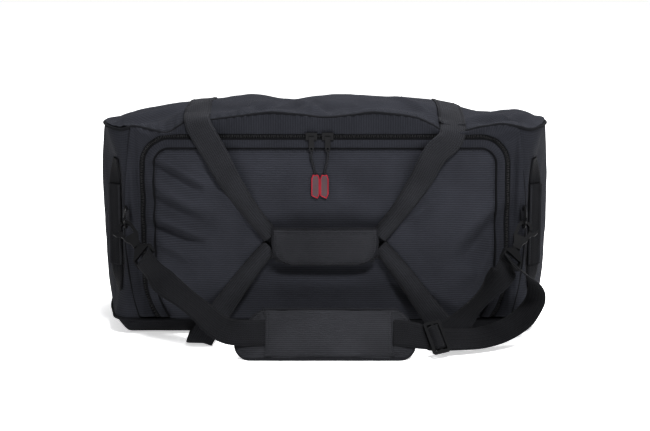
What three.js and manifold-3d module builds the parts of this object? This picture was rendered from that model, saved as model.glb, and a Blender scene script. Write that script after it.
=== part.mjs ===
// A soft travel holdall lying on its long side wall, so that its big zipped lid faces forward.
// Millimetres. +Z is up, -Y is the way the lid faces, +X runs along the bag's length.
// The origin is on the floor, under the middle of the bag.
import * as THREE from "three";
import { mergeVertices } from "three/addons/utils/BufferGeometryUtils.js";
import Module from "manifold-3d";

const wasm = await Module();
wasm.setup();

// ---- Driving dimensions ----
const HALF_DEPTH = 150; // from the middle to the lid's seam, and to the flat base
const FOOT_EDGE = 27; // height of the lower piping
const RIDGE_FRONT = 338; // height of the upper piping in the middle of the front
const RIDGE_BACK = 308; // the same at the back
const TOP_CROWN = 14; // how far the upper wall swells over its piping
const FACE_BULGE = 10; // how far the lid swells forward
const SKIN = 3; // padded fabric
const EDGE_GAP = 0.012; // share of the height left free for the piping at either edge
const SEAM_GAP = 3.6; // between the front pieces and an end panel
const FLOOR_CLEARANCE = 2.2; // of the lower wall where its webbing passes under it
const SAG_HALF = 70; // half the width that sags to the floor between the webbing
const FOOT_ROUND = 30; // width of the rounding round the lower wall
const PIPING_RADIUS = 2.5;

const ZIP_HALF = 270; // half the width between the two side runs of the zip
const ZIP_TOP = 306; // height of the zip's straight top run
const ZIP_RADIUS = 42;
const ZIP_FOOT = 32; // where the side runs end
const BORDER_WIDTH = 13;

const WEBBING_WIDTH = 38;
const WEBBING = 1.8; // thickness
const WEBBING_X = 188; // of the two webbing bands that run round the bag
const BAND_LIFT = 2.9; // of those bands over the upper wall
const GRIP_HALF = 86; // half the length of the hand grip's two webbing bundles

const RING_X = 294;
const RING_BAR_Y = -160;
const RING_Z = 188;
const RING_WIRE = 2;

// ---- Materials ----
const paint = (color, roughness, metalness = 0) =>
  new THREE.MeshStandardMaterial({ color, roughness, metalness });
const finishes = {
  shell: paint(0x17191e, 0.82),
  lid: paint(0x1a1c22, 0.78),
  trim: paint(0x131418, 0.7),
  webbing: paint(0x1c1c1e, 0.88),
  padding: paint(0x26272a, 0.92),
  zip: paint(0x0c0c0e, 0.5),
  metal: paint(0x101012, 0.35, 0.8),
  nylon: paint(0x1d1e20, 0.45),
  rubber: paint(0x5a1420, 0.6),
  board: paint(0x202226, 0.7),
};

const bag = new THREE.Group();

function add(name, geometry, finish) {
  const mesh = new THREE.Mesh(outward(geometry), finishes[finish]);
  mesh.name = name;
  bag.add(mesh);
}

// ---- Helpers for closed solids ----
const vec = (x, y, z) => new THREE.Vector3(x, y, z);
const lerp = THREE.MathUtils.lerp;
const clamp01 = (t) => Math.min(Math.max(t, 0), 1);

// Welds a geometry's vertices and turns its faces out if a bend has mirrored it.
function outward(geometry) {
  const bare = geometry.clone();
  for (const name of ["normal", "uv"]) bare.deleteAttribute(name);
  const welded = mergeVertices(bare, 1e-3);
  const position = welded.getAttribute("position");
  const index = welded.index.array;
  const corners = [vec(), vec(), vec()];
  let volume = 0;
  for (let i = 0; i < index.length; i += 3) {
    corners.forEach((corner, k) => corner.fromBufferAttribute(position, index[i + k]));
    volume += corners[0].dot(corners[1].clone().cross(corners[2]));
  }
  if (volume < 0) {
    for (let i = 0; i < index.length; i += 3) {
      [index[i + 1], index[i + 2]] = [index[i + 2], index[i + 1]];
    }
  }
  return welded;
}

// A block of nu by nv by 1 cells, each corner moved by place(u, v, w) with u, v, w from 0 to 1.
function bend(nu, nv, place) {
  const block = new THREE.BoxGeometry(1, 1, 1, nu, nv, 1);
  const position = block.getAttribute("position");
  for (let i = 0; i < position.count; i++) {
    const at = place(position.getX(i) + 0.5, position.getY(i) + 0.5, position.getZ(i) + 0.5);
    position.setXYZ(i, at.x, at.y, at.z);
  }
  return block;
}

// A skin of the given thickness behind surface(u, v), whose u and v directions turn to its outside.
function skin(surface, thickness, nu, nv) {
  const step = 1e-3;
  return bend(nu, nv, (u, v, w) => {
    const at = surface(u, v);
    const hu = u < 0.5 ? step : -step;
    const hv = v < 0.5 ? step : -step;
    const alongU = surface(u + hu, v).sub(at).divideScalar(hu);
    const alongV = surface(u, v + hv).sub(at).divideScalar(hv);
    const normal = alongU.cross(alongV).normalize();
    return at.addScaledVector(normal, (w - 1) * thickness);
  });
}

// A closed cord round the loop centre(t), t from 0 to 1.
function loopCord(centre, radius, steps, sides) {
  const torus = new THREE.TorusGeometry(2, 1, sides, steps);
  const position = torus.getAttribute("position");
  for (let i = 0; i < position.count; i++) {
    const angle = Math.atan2(position.getY(i), position.getX(i));
    const t = (angle / (2 * Math.PI) + 1) % 1;
    const out = Math.hypot(position.getX(i), position.getY(i)) - 2;
    const at = centre(t);
    const along = centre((t + 1e-3) % 1).sub(at).normalize();
    const side = along.clone().cross(vec(0, 0, 1));
    if (side.length() < 0.2) side.copy(along).cross(vec(1, 0, 0));
    side.normalize();
    const up = side.clone().cross(along);
    at.addScaledVector(side, out * radius).addScaledVector(up, position.getZ(i) * radius);
    position.setXYZ(i, at.x, at.y, at.z);
  }
  return torus;
}

// Flat webbing along points, with its width turned along the matching directions in ups.
function ribbon(points, ups, steps, size) {
  const route = new THREE.CatmullRomCurve3(points);
  const turn = new THREE.CatmullRomCurve3(ups);
  return bend(1, steps, (u, v, w) => {
    const at = route.getPoint(v);
    const along = route.getTangent(v);
    const across = turn.getPoint(v);
    across.addScaledVector(along, -across.dot(along)).normalize();
    const normal = along.clone().cross(across);
    const { width, thickness } = size(v);
    return at
      .addScaledVector(across, (u - 0.5) * width)
      .addScaledVector(normal, (w - 0.5) * thickness);
  });
}

const webbingSize = () => ({ width: WEBBING_WIDTH, thickness: WEBBING });

// A flat outline of [x, y] points, extruded by depth and centred on its thickness.
function plate(shape, depth, curveSegments = 6) {
  const solid = new THREE.ExtrudeGeometry(shape, { depth, bevelEnabled: false, curveSegments });
  return solid.translate(0, 0, -depth / 2);
}

const outlineOf = (points) => new THREE.Shape(points.map(([x, y]) => new THREE.Vector2(x, y)));

// ---- The bag's outer form ----
const fullness = (v) => Math.sin(Math.PI * clamp01(v)) ** 0.7;

// Half of an end panel seen from above, from the front seam to the middle of the end.
const END_AT_PIPING = [[281, -150], [306, -146], [322, -132], [328, -108], [330, -60], [330, 0]];
const END_AT_MIDDLE = [[298, -150], [300, -143], [300, -126], [308, -96], [334, -52], [350, 0]];
const FOOT_SHORTER = 8; // the lower edge's ends lie this far inside the upper edge's
const TOP_HALF = 327; // half the length of the upper wall

function endOutline(v) {
  const full = fullness(v);
  const shorter = FOOT_SHORTER * (1 - clamp01(v)) * (1 - full);
  const points = END_AT_PIPING.map(([x, y], i) => {
    const [middleX, middleY] = END_AT_MIDDLE[i];
    return new THREE.Vector2(lerp(x, middleX, full) - shorter, lerp(y, middleY, full));
  });
  return new THREE.SplineCurve(points);
}

const seamX = (v) => endOutline(v).getPoint(0).x;

// The upper piping dips where the webbing pulls on it, and stands up at the corners.
function frontRidge(x) {
  const dip = 16 * Math.exp(-(((Math.abs(x) - 225) / 45) ** 2));
  const ear = 6 * Math.exp(-(((Math.abs(x) - 322) / 18) ** 2));
  return RIDGE_FRONT - 14 * (x / 320) ** 2 - dip + ear;
}

function ridge(x, y) {
  const back = RIDGE_BACK - 10 * (x / 320) ** 2;
  return lerp(frontRidge(x), back, (y + HALF_DEPTH) / (2 * HALF_DEPTH));
}

// A point of the right-hand end; e runs from -1 at the front seam to 1 at the back seam.
function endPoint(e, v) {
  const at = endOutline(v).getPoint(1 - Math.abs(e));
  const y = e < 0 ? at.y : -at.y;
  return vec(at.x, y, lerp(FOOT_EDGE, ridge(at.x, y), v));
}

function faceY(x, z) {
  const v = (z - FOOT_EDGE) / (frontRidge(x) - FOOT_EDGE);
  return -HALF_DEPTH - FACE_BULGE * fullness(v) * (1 - (x / 300) ** 2);
}

const onFace = (x, z, proud = 0) => vec(x, faceY(x, z) - proud, z);

const bandV = (v) => lerp(EDGE_GAP, 1 - EDGE_GAP, v);
const fineEdges = (u) => 0.5 - 0.5 * Math.cos(Math.PI * u);

function wallRow(v, edge) {
  const at = endPoint(2 * v - 1, edge);
  const inset = PIPING_RADIUS + 0.7;
  return { half: at.x - inset, y: at.y * (1 - inset / HALF_DEPTH) };
}

function topPoint(x, y) {
  const across = clamp01(1 - (x / TOP_HALF) ** 4) * clamp01(1 - (y / HALF_DEPTH) ** 2);
  return vec(x, y, ridge(x, y) + TOP_CROWN * across ** 0.6);
}

function bottomPoint(x, y, half) {
  const inside = Math.min(half - Math.abs(x), HALF_DEPTH - Math.abs(y));
  const rise = 1 - Math.sin((Math.PI / 2) * clamp01(inside / FOOT_ROUND));
  const low = FLOOR_CLEARANCE * clamp01((Math.abs(x) - SAG_HALF) / (WEBBING_X - WEBBING_WIDTH - SAG_HALF));
  return vec(x, y, lerp(low, FOOT_EDGE, rise ** 1.2));
}

// ---- Shell panels ----
function shellPanels() {
  const top = (u, v) => {
    const row = wallRow(v, 1);
    return topPoint(lerp(-row.half, row.half, fineEdges(u)), row.y);
  };
  const bottom = (u, v) => {
    const row = wallRow(1 - v, 0);
    return bottomPoint(lerp(-row.half, row.half, fineEdges(u)), row.y, row.half);
  };
  add("upper_side_wall", skin(top, SKIN, 14, 12), "shell");
  add("lower_side_wall", skin(bottom, SKIN, 16, 16), "shell");
  const rightEnd = (u, v) => endPoint(lerp(-0.995, 0.995, u), bandV(v));
  const leftEnd = (u, v) => rightEnd(1 - u, v).multiply(vec(-1, 1, 1));
  add("end_panel_right", skin(rightEnd, SKIN, 16, 8), "shell");
  add("end_panel_left", skin(leftEnd, SKIN, 16, 8), "shell");
  const base = (u, v) => {
    const half = seamX(bandV(v)) - SEAM_GAP;
    const x = lerp(half, -half, u);
    return vec(x, HALF_DEPTH, lerp(FOOT_EDGE, ridge(x, HALF_DEPTH), bandV(v)));
  };
  add("base_panel", skin(base, SKIN, 6, 6), "shell");
  const board = new THREE.BoxGeometry(520, 4, 240).translate(0, HALF_DEPTH - SKIN - 4, 165);
  add("base_board", board, "board");
}

// ---- Piping round the two side walls ----
function perimeter(t, v) {
  const share = 0.31; // of the way round, for the front run and for the back run
  const half = seamX(v);
  const along = (x, y) => vec(x, y, v > 0.5 ? ridge(x, y) : FOOT_EDGE);
  if (t < share) return along(lerp(-half, half, t / share), -HALF_DEPTH);
  if (t < 0.5) return endPoint(lerp(-1, 1, (t - share) / (0.5 - share)), v);
  if (t < 0.5 + share) return along(lerp(half, -half, (t - 0.5) / share), HALF_DEPTH);
  const left = endPoint(lerp(1, -1, (t - 0.5 - share) / (0.5 - share)), v);
  return left.multiply(vec(-1, 1, 1));
}

function piping() {
  const upper = loopCord((t) => perimeter(t, 1), PIPING_RADIUS, 64, 6);
  const lower = loopCord((t) => perimeter(t, 0), PIPING_RADIUS, 56, 6);
  add("piping_upper", upper, "trim");
  add("piping_lower", lower, "trim");
}

// ---- Lid, zip and the fabric round them ----
function zipHalf(z) {
  return ZIP_HALF - 20 * (1 - clamp01((z - 30) / 60)) ** 2;
}

// A curve beside the zip: t runs from the lower left, over the top, to the lower right.
function zipCurve(t, offset) {
  const side = t < 0.5 ? -1 : 1;
  const s = 1 - Math.abs(2 * t - 1);
  const arcX = ZIP_HALF - ZIP_RADIUS;
  const arcZ = ZIP_TOP - ZIP_RADIUS;
  if (s < 0.4) {
    const z = lerp(ZIP_FOOT, arcZ, s / 0.4);
    return [side * (zipHalf(z) + offset), z];
  }
  if (s < 0.6) {
    const angle = ((s - 0.4) / 0.2) * (Math.PI / 2);
    const radius = ZIP_RADIUS + offset;
    return [side * (arcX + radius * Math.cos(angle)), arcZ + radius * Math.sin(angle)];
  }
  return [side * arcX * (1 - (s - 0.6) / 0.4), ZIP_TOP + offset];
}

// The outer edge of the fabric round the zip: the side seams and the upper piping.
function yokeEdge(t) {
  const [x, z] = zipCurve(t, 0);
  const side = t < 0.5 ? -1 : 1;
  const v = (z - FOOT_EDGE) / (frontRidge(x) - FOOT_EDGE);
  const seam = (height) => seamX(height) - SEAM_GAP;
  const under = (along) => frontRidge(along) - (RIDGE_FRONT - FOOT_EDGE) * EDGE_GAP;
  const s = 1 - Math.abs(2 * t - 1);
  if (s < 0.4) return [side * seam(v), z];
  if (s >= 0.6) return [x, under(x)];
  const arcX = ZIP_HALF - ZIP_RADIUS;
  const arcZ = ZIP_TOP - ZIP_RADIUS;
  const slope = Math.tan(((s - 0.4) / 0.2) * (Math.PI / 2));
  const cornerX = seam(0.98) - arcX;
  const cornerZ = under(arcX + cornerX) - arcZ;
  if (slope < cornerZ / cornerX) {
    const rise = cornerX * slope;
    return [side * seam((arcZ + rise - FOOT_EDGE) / (RIDGE_FRONT - FOOT_EDGE)), arcZ + rise];
  }
  const run = arcX + cornerZ / slope;
  return [side * run, under(run)];
}

function strip(inner, outer, steps, rows, low, high) {
  return bend(rows, steps, (u, v, w) => {
    const [ix, iz] = inner(v);
    const [ox, oz] = outer(v);
    return onFace(lerp(ix, ox, u), lerp(iz, oz, u), lerp(low, high, w));
  });
}

function front() {
  const beside = (offset) => (t) => zipCurve(t, offset);
  add("front_yoke", strip(beside(3.6), yokeEdge, 50, 2, -SKIN, 0), "shell");
  add("zip_chain", strip(beside(-3), beside(3), 40, 1, -2, 0.8), "zip");
  const border = strip(beside(-3.6 - BORDER_WIDTH), beside(-3.6), 40, 1, -2.5, 1.2);
  add("lid_border", border, "trim");
  const lidEdge = -3.6 - BORDER_WIDTH - 0.6;
  const lid = (u, v) => {
    const [x, z] = zipCurve(0.3 * v, lidEdge);
    return onFace(lerp(x, -x, u), z);
  };
  add("lid_panel", skin(lid, SKIN, 12, 12), "lid");
}

// ---- Webbing sewn round the bag, and the haul handle it makes in front ----
function bandPieces(label, side) {
  const lying = (place) => (u, v, w) => {
    const x = side * WEBBING_X + (u - 0.5) * WEBBING_WIDTH;
    return place(x, v, w);
  };
  const over = lying((x, v, w) => {
    const at = topPoint(x, lerp(-137, 137, v));
    return at.add(vec(0, 0, BAND_LIFT + w * WEBBING));
  });
  const behind = lying((x, v, w) => vec(x, HALF_DEPTH + 0.5 + w * WEBBING, lerp(36, 292, v)));
  const under = lying((x, v, w) => vec(x, lerp(-116, 116, v), w * WEBBING));
  add(`webbing_over_${label}`, bend(2, 12, over), "webbing");
  add(`webbing_behind_${label}`, bend(1, 1, behind), "webbing");
  add(`webbing_under_${label}`, bend(1, 1, under), "webbing");
}

// The folded webbing gets narrower and thicker where it runs into the hand grip.
function foldedSize(v) {
  const fold = clamp01((v - 0.55) / 0.45);
  return { width: lerp(WEBBING_WIDTH, 17, fold), thickness: lerp(WEBBING, 5, fold) };
}

function handleLegs(label, side, footFold) {
  const s = (x, y, z) => vec(side * x, y, z);
  const upper = [
    s(188, -139, 332.5), s(189, -152.5, 331), s(186, -159.5, 318), s(169, -163, 288),
    s(148, -166, 246), s(122, -169, 198), s(GRIP_HALF + 8, -169, 159),
  ];
  const upperTurn = [
    s(1, 0, -0.32), s(1, 0, -0.32), s(1, 0, 0.1), s(0.9, 0, 0.42),
    s(0.88, 0, 0.48), s(0.8, 0, 0.6), s(0.3, 0, 1),
  ];
  const lower = [
    s(188, -119, 1.1), s(188, -150, 1.3), s(187, footFold + 12, 2.4), s(185, footFold, 8),
    s(179, footFold + 2, 24), s(158, -176, 55), s(122, -170, 103), s(GRIP_HALF + 8, -169, 132),
  ];
  const lowerTurn = [
    s(1, 0, 0), s(1, 0, 0), s(1, 0, 0), s(1, 0, 0),
    s(1, 0, -0.1), s(0.9, 0, -0.45), s(0.75, 0, -0.66), s(0.3, 0, -1),
  ];
  add(`handle_leg_upper_${label}`, ribbon(upper, upperTurn, 26, foldedSize), "webbing");
  add(`handle_leg_lower_${label}`, ribbon(lower, lowerTurn, 30, foldedSize), "webbing");
}

function handGrip() {
  const bundle = (z) => new THREE.BoxGeometry(2 * GRIP_HALF, 5, 17).translate(0, -169, z);
  add("grip_webbing_upper", bundle(156.5), "webbing");
  add("grip_webbing_lower", bundle(134.5), "webbing");
  const back = outlineOf([
    [-162.5, 120], [-162.5, 171.5], [-173.5, 171.5], [-173.5, 168.5], [-165.5, 168.5], [-165.5, 120],
  ]);
  const wrap = plate(back, 148).rotateX(Math.PI / 2).rotateZ(Math.PI / 2);
  add("grip_wrap_back", wrap, "padding");
  const corner = 34;
  const flap = new THREE.Shape();
  flap.moveTo(-77, 0);
  flap.lineTo(-77, -53 + corner);
  flap.absarc(-77 + corner, -53 + corner, corner, Math.PI, 1.5 * Math.PI);
  flap.absarc(77 - corner, -53 + corner, corner, 1.5 * Math.PI, 2 * Math.PI);
  flap.lineTo(77, 0);
  const cover = plate(flap, 4).rotateX(Math.PI / 2).translate(0, -176.5, 171);
  add("grip_wrap_flap", cover, "padding");
}

// ---- End handles ----
function endHandle(label, side) {
  const turn = 0.56; // radians between the handle's flat side and straight ahead
  const centre = vec(side * 314, -129, 0);
  const across = vec(side * Math.cos(turn), Math.sin(turn), 0);
  const out = vec(side * Math.sin(turn), -Math.cos(turn), 0);
  const bar = (low, high) => (u, v, w) => {
    const round = 1 - 0.35 * Math.abs(2 * u - 1) ** 2;
    return centre
      .clone()
      .addScaledVector(across, (u - 0.5) * 22)
      .addScaledVector(out, (w - 0.5) * 8 * round)
      .setZ(lerp(low, high, v));
  };
  add(`end_handle_grip_${label}`, bend(4, 1, bar(108, 232)), "webbing");
  const anchor = vec(side * 312.5, -127.5, 0);
  const flat = vec(side * 0.28, 0.96, 0);
  const leg = (near, far) => {
    const steps = [0, 0.4, 0.75, 1];
    const points = steps.map((t) => centre.clone().lerp(anchor, t).setZ(lerp(near, far, t)));
    const ups = steps.map((t) => across.clone().lerp(flat, t));
    return ribbon(points, ups, 4, () => ({ width: 24, thickness: 2.4 }));
  };
  add(`end_handle_leg_upper_${label}`, leg(232.5, 268), "webbing");
  add(`end_handle_leg_lower_${label}`, leg(107.5, 72), "webbing");
}

// ---- D-rings on the side seams ----
function ringPath() {
  const shape = [
    [0, -11], [0, 0], [0, 11], [-3, 15.2], [-12, 14.4],
    [-20, 8.6], [-23, 0], [-20, -8.6], [-12, -14.4], [-3, -15.2],
  ];
  const points = shape.map(([y, z]) => vec(0, RING_BAR_Y + y, RING_Z + z));
  return new THREE.CatmullRomCurve3(points, true, "centripetal");
}

function dRing(label, side) {
  const path = ringPath();
  const centre = (t) => path.getPoint(t).setX(side * RING_X);
  add(`d_ring_${label}`, loopCord(centre, RING_WIRE, 30, 8), "metal");
  const tab = new THREE.Shape();
  const tail = HALF_DEPTH + RING_BAR_Y + 0.9; // back to the seam
  tab.absarc(0, 0, 4.4, 0, Math.PI, true);
  tab.lineTo(-1.8, -tail);
  tab.lineTo(1.8, -tail);
  const hole = new THREE.Path();
  hole.absarc(0, 0, RING_WIRE + 0.5, 0, 2 * Math.PI);
  tab.holes.push(hole);
  const loop = plate(tab, 19, 8).translate(side * RING_X, RING_BAR_Y, RING_Z);
  add(`ring_tab_${label}`, loop, "webbing");
}

// ---- Swivel hooks of the shoulder strap ----
// Turns local x, y, z into the given x and z directions, from the ring's wire.
function hookFrame(side, xAxis, zAxis) {
  const up = zAxis.clone().normalize();
  const right = xAxis.clone().addScaledVector(up, -xAxis.dot(up)).normalize();
  const forward = up.clone().cross(right);
  const wire = vec(side * RING_X, RING_BAR_Y - 15.6, RING_Z - 11.4);
  return new THREE.Matrix4().makeBasis(right, forward, up).setPosition(wire);
}

function toManifold(geometry) {
  const closed = outward(geometry.index ? geometry.toNonIndexed() : geometry);
  const mesh = new wasm.Mesh({
    numProp: 3,
    vertProperties: Float32Array.from(closed.getAttribute("position").array),
    triVerts: Uint32Array.from(closed.index.array),
  });
  return new wasm.Manifold(mesh);
}

function fromManifold(solid) {
  const { vertProperties, triVerts } = solid.getMesh();
  const geometry = new THREE.BufferGeometry();
  geometry.setAttribute("position", new THREE.BufferAttribute(vertProperties, 3));
  return geometry.setIndex(new THREE.BufferAttribute(triVerts, 1));
}

// Upright plates are drawn in x and z, with their thickness along y.
const upright = (geometry) => geometry.rotateX(Math.PI / 2);

function stud(radius, low, high) {
  const pin = new THREE.CylinderGeometry(radius, radius, high - low, 12).rotateX(Math.PI / 2);
  return pin.translate(0, 0, (low + high) / 2);
}

function hookBody() {
  const outline = new THREE.Shape();
  outline.moveTo(-6, -38);
  outline.lineTo(6, -38);
  outline.lineTo(6.5, -30);
  outline.lineTo(11.5, -21);
  outline.lineTo(11.5, -17.6);
  outline.lineTo(-5.6, -17.6);
  outline.lineTo(-7, -14);
  outline.lineTo(-7, -5);
  outline.absarc(0, -5, 7, Math.PI, 0, true);
  outline.lineTo(11.5, -5);
  outline.absarc(0, -5, 11.5, 0, Math.PI);
  outline.lineTo(-11.5, -20);
  outline.lineTo(-6.5, -30);
  const body = toManifold(upright(plate(outline, 7)));
  return fromManifold(body.subtract(toManifold(stud(2.9, -38.5, -31))));
}

function hookGate() {
  const outline = outlineOf([
    [7.6, -5.5], [7.6, -17.1], [11.2, -17.1], [13, -12], [18, -9],
    [20.5, -3], [19, 2], [15.5, -5], [11.9, -8], [11.2, -5.5],
  ]);
  return upright(plate(outline, 5));
}

function hookLoop() {
  const outline = outlineOf([[-6, -38.5], [-22, -50], [-22, -64], [22, -64], [22, -50], [6, -38.5]]);
  const slot = new THREE.Path(
    [[-19, -51], [-19, -58], [19, -58], [19, -51]].map(([x, y]) => new THREE.Vector2(x, y)),
  );
  outline.holes.push(slot);
  const frame = toManifold(upright(plate(outline, 5)));
  return fromManifold(frame.add(toManifold(stud(2.4, -44, -32))));
}

// Directions for the right-hand side: down along the hook, and along its strap bar.
const hookSides = {
  left: { side: -1, down: vec(0.55, -0.45, -0.69), bar: vec(-0.52, 0.38, -0.76) },
  right: { side: 1, down: vec(-0.42, -0.45, -0.79), bar: vec(0.5, 0.38, -0.76) },
};

function placed(geometry, frame) {
  return geometry.applyMatrix4(frame);
}

function swivelHook(label) {
  const { side, down, bar } = hookSides[label];
  const up = down.clone().negate();
  const body = hookFrame(side, vec(side, 0, 0), up);
  const loop = hookFrame(side, bar, up);
  const lowered = new THREE.Matrix4().makeTranslation(1.5, 0, 0.5);
  add(`hook_body_${label}`, placed(hookBody(), body.clone().multiply(lowered)), "nylon");
  add(`hook_gate_${label}`, placed(hookGate(), body.clone().multiply(lowered)), "nylon");
  const loopAt = new THREE.Matrix4().makeTranslation(0, 0, 0.5);
  const shift = vec(1.5, 0, 0).transformDirection(body).multiplyScalar(1.5);
  add(`hook_loop_${label}`, placed(hookLoop(), loop.clone().multiply(loopAt)).translate(...shift), "nylon");
}

// ---- Shoulder strap, its pad and its slide buckle ----
const PAD_UP = vec(0, 0.5, 0.866);
const PAD_CENTRE = vec(0, -254, 34);
const PAD_HALF = 128;
const BUCKLE_UP = vec(-0.31, 0.57, 0.76);
const BUCKLE_CENTRE = vec(160, -250, 26);

function strapLeft() {
  const points = [
    vec(-249, -212, 117), vec(-232, -216, 99), vec(-208, -223, 82),
    vec(-180, -233, 62), vec(-160, -246, 47), vec(-146, -252, 39), vec(-PAD_HALF - 9, -254, 35),
  ];
  const turns = [
    vec(0.52, -0.38, 0.76), vec(0.55, 0.3, 0.7), vec(0.45, 0.7, 0.5),
    vec(0.4, 0.75, 0.55), vec(0.2, 0.66, 0.7), vec(0.1, 0.56, 0.82), PAD_UP,
  ];
  add("shoulder_strap_left", ribbon(points, turns, 24, webbingSize), "webbing");
}

function strapRight() {
  const outer = [
    vec(PAD_HALF + 8, -251, 31), vec(147, -250.5, 28), BUCKLE_CENTRE, vec(190, -240, 22),
    vec(226, -226, 20), vec(260, -212, 26), vec(290, -200, 41), vec(307, -199, 64),
    vec(310, -206, 86), vec(304, -212, 102), vec(294, -216, 112), vec(283, -218, 119),
  ];
  const outerTurns = [
    PAD_UP, vec(-0.2, 0.6, 0.76), BUCKLE_UP, vec(-0.25, 0.75, 0.63), vec(-0.2, 0.8, 0.58),
    vec(-0.35, 0.75, 0.56), vec(-0.6, 0.7, 0.4), vec(-0.6, 0.8, 0.1), vec(-0.55, 0.83, 0.1),
    vec(-0.36, 0.93, 0), vec(-0.1, 1, 0), vec(0, 1, 0.05),
  ];
  const inner = [
    vec(262, -205, 115), vec(252, -196, 98), vec(240, -190, 80), vec(228, -187, 64),
    vec(215, -188, 50), vec(200, -200, 37), vec(183, -218, 27), vec(165, -236, 22),
  ];
  const innerTurns = [
    vec(-0.5, -0.2, 0.8), vec(-0.5, 0.4, 0.75), vec(-0.35, 0.85, 0.3), vec(-0.3, 0.92, 0.2),
    vec(-0.3, 0.9, 0.3), vec(-0.3, 0.78, 0.5), vec(-0.3, 0.66, 0.66), BUCKLE_UP,
  ];
  add("shoulder_strap_right", ribbon(outer, outerTurns, 40, webbingSize), "webbing");
  add("shoulder_strap_return", ribbon(inner, innerTurns, 22, webbingSize), "webbing");
}

function shoulderPad() {
  const cornerShare = 0.3; // of the half width, cut off the ends in a round
  const pad = bend(16, 4, (u, v, w) => {
    const along = 2 * u - 1;
    const endRound = 1 - cornerShare * clamp01((Math.abs(along) - 0.86) / 0.14) ** 2;
    const height = (v - 0.5) * 2 * 36 * endRound;
    const crown = (1 - 0.35 * Math.abs(2 * v - 1) ** 3) * (1 - 0.4 * Math.abs(along) ** 8);
    const normal = vec(0, -0.866, 0.5);
    return PAD_CENTRE.clone()
      .add(vec(along * PAD_HALF, 0, 0))
      .addScaledVector(PAD_UP, height)
      .addScaledVector(normal, (w - 0.5) * 11 * crown);
  });
  add("shoulder_pad", pad, "padding");
}

function slideBuckle() {
  const frame = outlineOf([
    [25, -11], [25, 11], [22, 13.5], [-22, 13.5], [-25, 11], [-25, -11], [-22, -13.5], [22, -13.5],
  ]);
  for (const side of [-1, 1]) {
    const slot = [[-20.5, 2.2], [-20.5, 9.2], [20.5, 9.2], [20.5, 2.2]];
    frame.holes.push(new THREE.Path(slot.map(([x, y]) => new THREE.Vector2(x, side * y))));
  }
  const up = BUCKLE_UP.clone().normalize();
  const along = vec(0.95, 0.2, -0.05);
  along.addScaledVector(up, -along.dot(up)).normalize();
  const out = up.clone().cross(along);
  const basis = new THREE.Matrix4().makeBasis(up, along, out);
  basis.setPosition(BUCKLE_CENTRE.clone().addScaledVector(out, -4.5));
  add("slide_buckle", placed(plate(frame, 3.4), basis), "nylon");
}

// ---- Zip sliders with their pulls ----
function zipSlider(label, x) {
  const face = faceY(x, ZIP_TOP);
  const shell = new THREE.BoxGeometry(17, 4.5, 11).translate(x, face - 1.6 - 2.25, ZIP_TOP + 1);
  add(`zip_slider_${label}`, shell, "metal");
  const eye = outlineOf([[-4, 0], [4, 0], [4, -16], [2.6, -22], [-2.6, -22], [-4, -16]]);
  const opening = new THREE.Path();
  opening.absarc(0, -18, 1.7, 0, 2 * Math.PI);
  eye.holes.push(opening);
  const pullY = face - 8;
  const puller = upright(plate(eye, 1.6)).translate(x, pullY, ZIP_TOP + 1);
  add(`zip_puller_${label}`, puller, "metal");
  const route = new THREE.CatmullRomCurve3([
    vec(x, pullY - 1.5, 284.5), vec(x, pullY - 2, 276), vec(x, pullY - 2.2, 264), vec(x, pullY - 2.4, 251.5),
  ]);
  const section = new THREE.Shape().absarc(0, 0, 1.7, 0, 2 * Math.PI);
  const cord = new THREE.ExtrudeGeometry(section, { steps: 6, extrudePath: route, curveSegments: 4 });
  add(`pull_cord_${label}`, cord, "webbing");
  const tab = new THREE.Shape();
  tab.moveTo(-4, 0);
  tab.lineTo(4, 0);
  tab.lineTo(6, -6);
  tab.lineTo(6, -28);
  tab.lineTo(3, -34);
  tab.lineTo(-6, -30);
  tab.lineTo(-6, -6);
  const grip = upright(plate(tab, 3)).translate(x, pullY - 2.4, 251);
  add(`pull_tab_${label}`, grip, "rubber");
}

// ---- Assembly ----
shellPanels();
piping();
front();
for (const [label, side, footFold] of [["left", -1, -198], ["right", 1, -182]]) {
  bandPieces(label, side);
  handleLegs(label, side, footFold);
  endHandle(label, side);
  dRing(label, side);
  swivelHook(label);
}
handGrip();
strapLeft();
strapRight();
shoulderPad();
slideBuckle();
zipSlider("left", -20);
zipSlider("right", 4);

export default bag;
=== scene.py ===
"""A soft travel holdall that lies on its long side wall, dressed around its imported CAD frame.

Metres, in the frame of the CAD part: +Z up, -Y the way the lid faces, +X along the bag.
"""
import math

import bpy
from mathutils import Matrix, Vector, noise


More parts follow.
